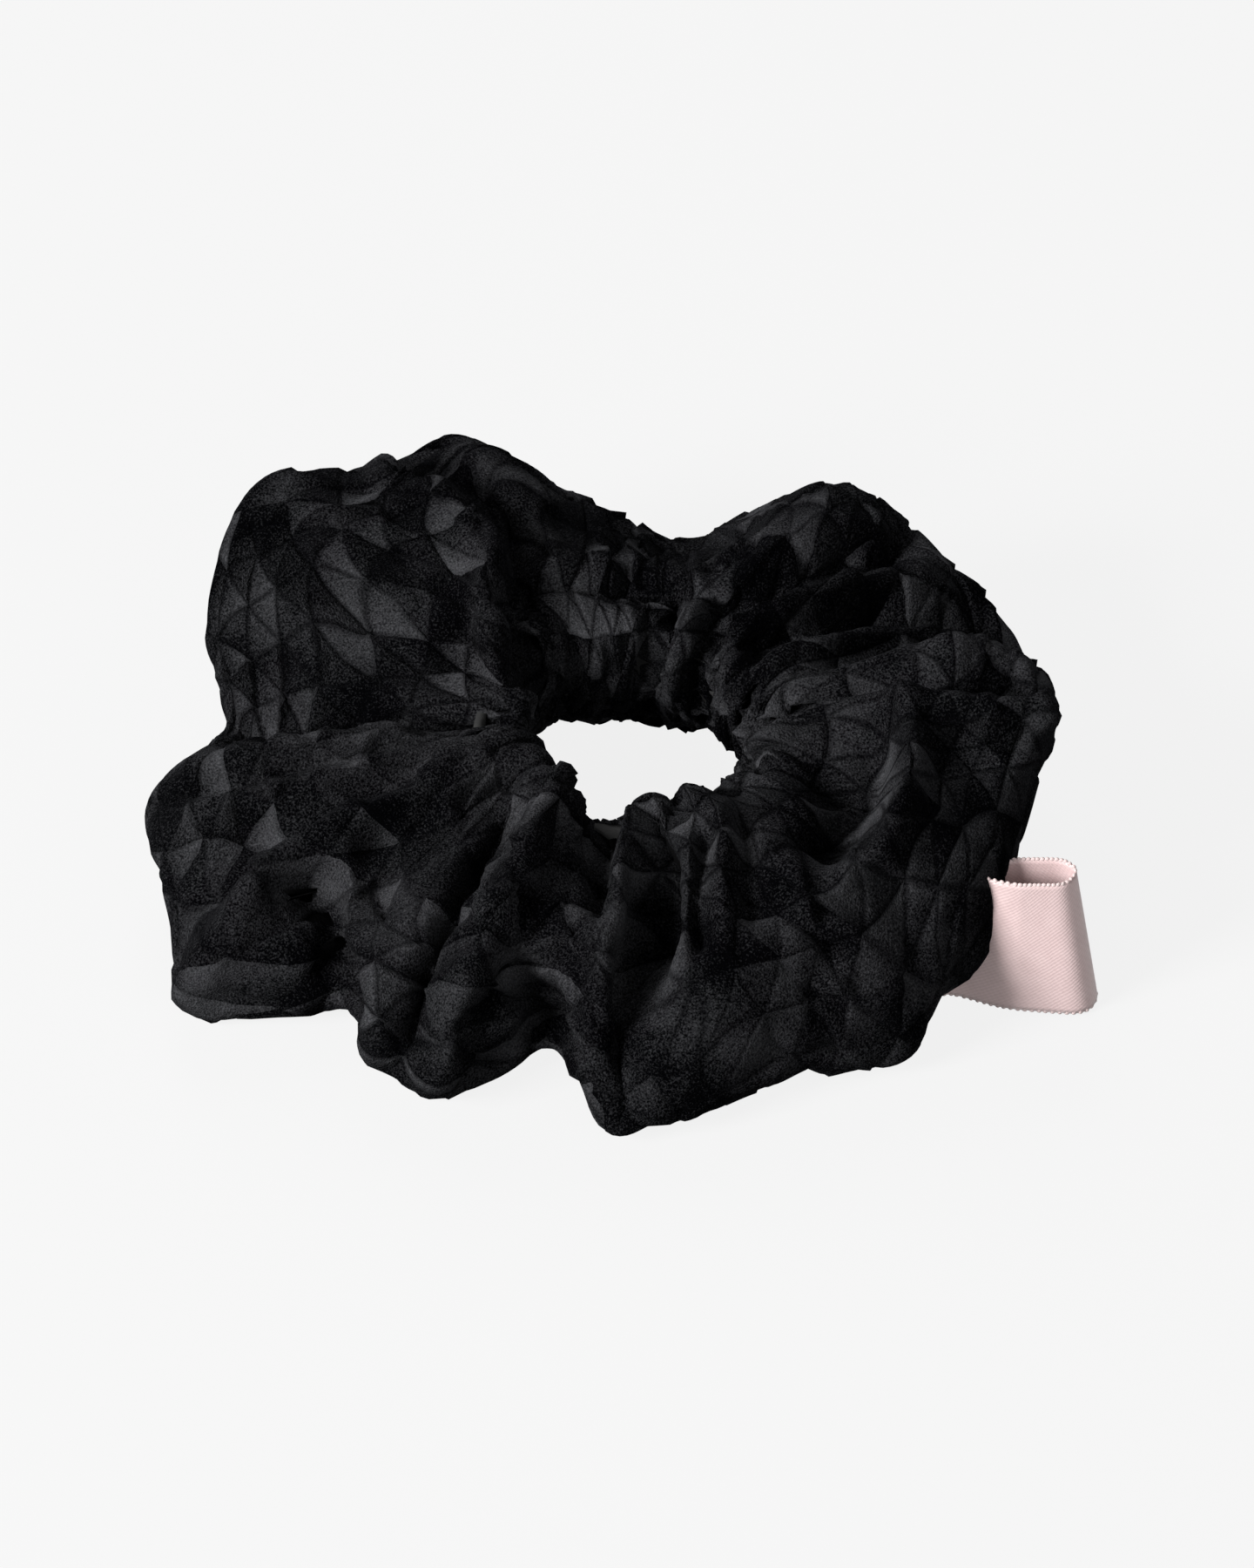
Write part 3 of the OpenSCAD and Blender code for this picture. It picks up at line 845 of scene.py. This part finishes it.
bm.normal_update()
inward = [v.normal.copy() for v in bm.verts]
wadding = bpy.data.objects.new("wadding", coarse_mesh)
bpy.context.scene.collection.objects.link(wadding)
for vert in coarse_mesh.vertices:
    vert.co = outer_cover.data.vertices[vert.index].co
coarse_mesh.update()
shell = bmesh.new()
shell.from_mesh(coarse_mesh)
lining = bmesh.ops.duplicate(shell, geom=shell.verts[:] + shell.edges[:] + shell.faces[:])
lining_verts = {v for v in lining["geom"] if isinstance(v, bmesh.types.BMVert)}
bmesh.ops.reverse_faces(shell, faces=[f for f in lining["geom"] if isinstance(f, bmesh.types.BMFace)])
for vert in shell.verts:
    in_lining = vert in lining_verts
    inwards = vert.normal if in_lining else -vert.normal
    room = outer_face.ray_cast(vert.co + inwards * 0.3 * MM, inwards)[3] or 1.0
    depth = min(1.2 * MM + (WADDING_T if in_lining else 0.0), (0.48 if in_lining else 0.4) * room)
    vert.co = sunk(vert.co + inwards * depth, 0.9 * depth, tube_middle(along_ring(vert.co)))
shell.to_mesh(wadding.data)
shell.free()
wadding_mesh = wadding.data
for face in wadding_mesh.polygons:
    face.use_smooth = True
bpy.data.objects.remove(outer_cover)
wadding_mesh.materials.clear()
# Near black, so wadding that shows through the deepest folds reads as their shade.
wadding_mesh.materials.append(soft_material("wadding_dark_as_shade", (0.004, 0.004, 0.0042, 1), 900.0))
stretches(wadding, "wadding")
print("wadding:", len(wadding_mesh.polygons), "faces")

# %% [markdown]
# ## Elastic
# A flat band, spun round the loop's axis at the radius that the model gives it.

# %% Elastic
ELASTIC_T = 1.2 * MM
ELASTIC_IN = -elastic_low.x - ELASTIC_T


def add_piece(name, bm):
    """A new object from a finished bmesh."""
    mesh = bpy.data.meshes.new(name)
    bm.to_mesh(mesh)
    bm.free()
    for face in mesh.polygons:
        face.use_smooth = True
    obj = bpy.data.objects.new(name, mesh)
    bpy.context.scene.collection.objects.link(obj)
    return obj


bm = bmesh.new()
bmesh.ops.create_circle(bm, segments=96, radius=ELASTIC_IN)
bmesh.ops.translate(bm, vec=(0, 0, elastic_low.z), verts=bm.verts)
raised = bmesh.ops.extrude_edge_only(bm, edges=bm.edges[:])
bmesh.ops.translate(bm, vec=(0, 0, elastic_high.z - elastic_low.z),
                    verts=[v for v in raised["geom"] if isinstance(v, bmesh.types.BMVert)])
bmesh.ops.recalc_face_normals(bm, faces=bm.faces)
bmesh.ops.solidify(bm, geom=bm.faces[:], thickness=ELASTIC_T)
elastic = add_piece("elastic_band", bm)
elastic.data.materials.append(soft_material("woven_elastic", (0.03, 0.03, 0.03, 1), 1500.0))
stretches(elastic, "elastic")
print("elastic:", len(elastic.data.polygons), "faces, outer radius",
      round(max(v.co.xy.length for v in elastic.data.vertices) / MM, 2), "mm")

# %% [markdown]
# ## Threads
# Both seams are rows of short stitches on the inside of the cloth. Each stitch is a thin tube between two
# points of the settled ring, moved inwards by the thickness of the velvet and the wadding.

# %% Stitches along the two seams
THREAD_D = 0.35 * MM
STITCH_L = 2.2 * MM
STITCH_GAP = 0.8 * MM
SEAM_IN = VELVET_T + WADDING_T + 0.9 * MM
inside = {}
for place, spot, normal in zip(places, settled, inward):
    inside[round(place[0] * ROWS_ALONG) % ROWS_ALONG, round(place[1] * ROWS_ROUND) % ROWS_ROUND] = (
        sunk(spot - normal * SEAM_IN, VELVET_T + WADDING_T, tube_middle(place[0])))


def add_stitch(bm, start, end):
    """A thin tube from start to end."""
    run = end - start
    turn = run.to_track_quat("Z", "Y").to_matrix().to_4x4()
    bmesh.ops.create_cone(bm, segments=6, radius1=THREAD_D / 2, radius2=THREAD_D / 2, depth=run.length,
                          cap_ends=True, matrix=Matrix.Translation((start + end) / 2) @ turn)


def stitch_row(name, line):
    """Stitches of one length, laid along a closed line of points."""
    bm = bmesh.new()
    line = line + line[:1]
    ends = [0.0]
    for a, b in zip(line, line[1:]):
        ends.append(ends[-1] + (b - a).length)

    def at(distance):
        for i, (a, b) in enumerate(zip(ends, ends[1:])):
            if a <= distance <= b:
                return line[i].lerp(line[i + 1], (distance - a) / max(b - a, 1e-9))
        return line[-1]

    count = int(ends[-1] / (STITCH_L + STITCH_GAP))
    step = ends[-1] / count
    for i in range(count):
        add_stitch(bm, at(i * step), at(i * step + STITCH_L / (STITCH_L + STITCH_GAP) * step))
    print(name, count, "stitches")
    return add_piece(name, bm)


SEAM_ROW = round(SEAM_ROUND * ROWS_ROUND)
black_thread = soft_material("black_thread", (0.02, 0.02, 0.02, 1), 3000.0)
long_seam = stitch_row("long_seam_thread", [inside[i, SEAM_ROW] for i in range(ROWS_ALONG)])
stretches(long_seam, "seam_thread")
closing_seam = stitch_row("closing_seam_stitches", [inside[TAG_COLUMN, j] for j in range(ROWS_ROUND)])
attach(closing_seam, "right_end")
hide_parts("closing_seam_thread")
for piece in (long_seam, closing_seam):
    piece.data.materials.append(black_thread)

# %% [markdown]
# ## Ribbon tag
# A length of satin ribbon is folded into a loop and its two tails are caught in the closing seam. A flat
# grid, as long and wide as the ribbon, is bent along a line seen from above: straight out of the seam,
# apart into a drop, and back. Its lower edge stands out further than its upper one.

# %% Bend the ribbon
RIBBON_W = ribbon_high.z - ribbon_low.z
RIBBON_T = 0.28 * MM
TAIL_L = 9.5 * MM
LOOP_HALF_L = 12.4 * MM
HALF_L = TAIL_L + LOOP_HALF_L
LOOP_SPREAD = math.radians(23)
LOOP_END = 6.0 * MM       # length of the quarter turn at the far end, which tightens as it goes
FLARE = 3.3 * MM
STEPS = 200


def heading(done):
    """Which way one half of the loop runs, after this much of its length."""
    apart = -LOOP_SPREAD * math.sin(math.pi * min(done / (0.52 * HALF_L), 1.0))
    turn = min(max((done - HALF_L + LOOP_END) / LOOP_END, 0), 1)
    return apart + math.pi / 2 * turn ** 2


def loop_line():
    """Points along half of the loop, in plan, from the end of its tail to the far end."""
    x = y = 0.0
    line = [(0.0, 0.0)]
    for i in range(STEPS):
        way = heading((i + 0.5) / STEPS * HALF_L)
        x += math.cos(way) * HALF_L / STEPS
        y += math.sin(way) * HALF_L / STEPS
        line.append((x, y))
    return [(x - TAIL_L, y - line[-1][1]) for x, y in line]


half = loop_line()


def ribbon_place(distance, height):
    """Where a point of the flat ribbon goes: distance from the loop's far end, height from its middle."""
    side = math.copysign(1, distance)
    x, y = half[round((HALF_L - abs(distance)) / HALF_L * STEPS)]
    low = 0.5 - height / RIBBON_W
    out = min(max(x / (LOOP_HALF_L - TAIL_L / 4), 0.0), 1.0)
    y *= (1.05 + 0.45 * low * out) if side > 0 else 0.8
    x -= FLARE * (1 - low) * out
    return FOLD + Vector((x, side * y, 0)) + Vector((0, 0, (ribbon_low.z + ribbon_high.z) / 2 + height - FOLD.z))


print("tails", round(2 * abs(half[0][1]) / MM, 2), "mm apart, loop up to",
      round(2 * max(abs(y) for _, y in half) / MM, 2), "mm open")

# %% Make the ribbon and give it its thickness
RIBBON_L = 2 * HALF_L
bm = bmesh.new()
bmesh.ops.create_grid(bm, x_segments=160, y_segments=28, size=0.5, calc_uvs=True)
ribbon_uv = bm.loops.layers.uv.verify()
for face in bm.faces:
    for loop in face.loops:
        loop[ribbon_uv].uv = (loop.vert.co.x * RIBBON_L / MM, loop.vert.co.y * RIBBON_W / MM)
for vert in bm.verts:
    vert.co = ribbon_place(vert.co.x * RIBBON_L, vert.co.y * RIBBON_W)
bmesh.ops.recalc_face_normals(bm, faces=bm.faces)
ribbon = add_piece("ribbon", bm)
ribbon.data.uv_layers[0].name = "Weave"
thickness = ribbon.modifiers.new("Solidify", "SOLIDIFY")
thickness.thickness = RIBBON_T
thickness.offset = 0
ribbon_mesh = baked(ribbon)
for face in ribbon_mesh.polygons:
    face.use_smooth = True
print("ribbon:", len(ribbon_mesh.polygons), "faces")


# %% [markdown]
# Satin shines because its warp threads float over several others before they dip. The dips step sideways
# from row to row, and from near they read as a fine slanted twill. It is drawn in the ribbon's own UV map,
# in millimetres, as a slanted wave in the bump and a slight change of colour.

# %% Satin material
TWILL = 0.42   # millimetres from one slanted row to the next


def satin_material():
    material, tree, shader = new_material(
        "pink_satin", Roughness=0.42, Specular_IOR_Level=0.5, Sheen_Weight=0.25, Sheen_Roughness=0.3)
    uv = add_node(tree, "ShaderNodeUVMap", uv_map="Weave").outputs[0]
    turned = add_node(tree, "ShaderNodeMapping", {0: uv, "Rotation": (0, 0, math.radians(35))}).outputs[0]
    split = add_node(tree, "ShaderNodeSeparateXYZ", {0: turned})
    rows = math_node(tree, "PINGPONG", math_node(tree, "DIVIDE", split.outputs[1], TWILL), 0.5)
    floats = math_node(tree, "PINGPONG", math_node(tree, "DIVIDE", split.outputs[0], TWILL * 1.6), 0.5)
    weave = math_node(tree, "MULTIPLY_ADD", rows, 1.4, math_node(tree, "MULTIPLY", floats, 0.6))
    cloudy = add_node(tree, "ShaderNodeTexNoise", {"Vector": uv, "Scale": 0.35, "Detail": 3.0}).outputs[0]
    tone = math_node(tree, "MULTIPLY_ADD", weave, 0.45, math_node(tree, "MULTIPLY", cloudy, 0.5))
    colours = add_node(tree, "ShaderNodeMix", {0: tone, 6: linear(176, 152, 151), 7: linear(208, 186, 185)},
                       data_type="RGBA")
    tree.links.new(colours.outputs[2], shader.inputs["Base Color"])
    bump = add_node(tree, "ShaderNodeBump", {"Height": weave, "Strength": 0.5, "Distance": 0.06 * MM})
    tree.links.new(bump.outputs[0], shader.inputs["Normal"])
    return material


satin = satin_material()
ribbon_mesh.materials.append(satin)
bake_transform(ribbon)
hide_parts("ribbon_tag", "ribbon_tails")

# %% [markdown]
# Both edges of the ribbon carry a picot, a row of tiny loops where the weft turns back. One loop is a small
# squashed sphere of a few dozen faces, and it is repeated along the same bent line.

# %% Picot edge
PICOT_PITCH = 0.85 * MM
PICOT_R = 0.26 * MM
bm = bmesh.new()
count = int(RIBBON_L / PICOT_PITCH)
for edge in (-1, 1):
    for i in range(count):
        along = (i + 0.5) / count * RIBBON_L - RIBBON_L / 2
        here = ribbon_place(along, edge * RIBBON_W / 2)
        ahead = ribbon_place(along + 0.1 * MM, edge * RIBBON_W / 2) - here
        turn = ahead.to_track_quat("X", "Z").to_matrix().to_4x4()
        bmesh.ops.create_uvsphere(bm, u_segments=7, v_segments=5, radius=PICOT_R,
                                  matrix=Matrix.Translation(here) @ turn @ Matrix.Diagonal((1.35, 0.8, 1.1, 1)))
picot = add_piece("ribbon_picot", bm)
picot.data.materials.append(soft_material("picot_thread", linear(214, 194, 192), 2500.0))
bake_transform(picot)
print("picot:", 2 * count, "loops")

# %% [markdown]
# ## Pieces that stay as the model has them
# The stitches that join the elastic's two ends, and those that tack the ribbon's tails, are right as they
# are. They only need a thread's finish.

# %% Finish the model's own threads
white_thread = soft_material("white_thread", (0.75, 0.72, 0.68, 1), 3000.0)
for node in ("elastic_join_thread", "tag_thread"):
    obj = frame["nodes"][node]
    obj.data.materials.clear()
    obj.data.materials.append(white_thread)

# %% [markdown]
# ## Sizes
# The cloth has to stay in the space of the model's solids, so both boxes are printed.

# %% Print both boxes and finish
boxes = {"cad": [list(map(float, v)) for v in (cad_low, cad_high)],
         "visual": [list(map(float, v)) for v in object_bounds()]}
for name, (low, high) in boxes.items():
    print(name, "box, mm:", [round(v / MM, 1) for v in (*low, *high)])
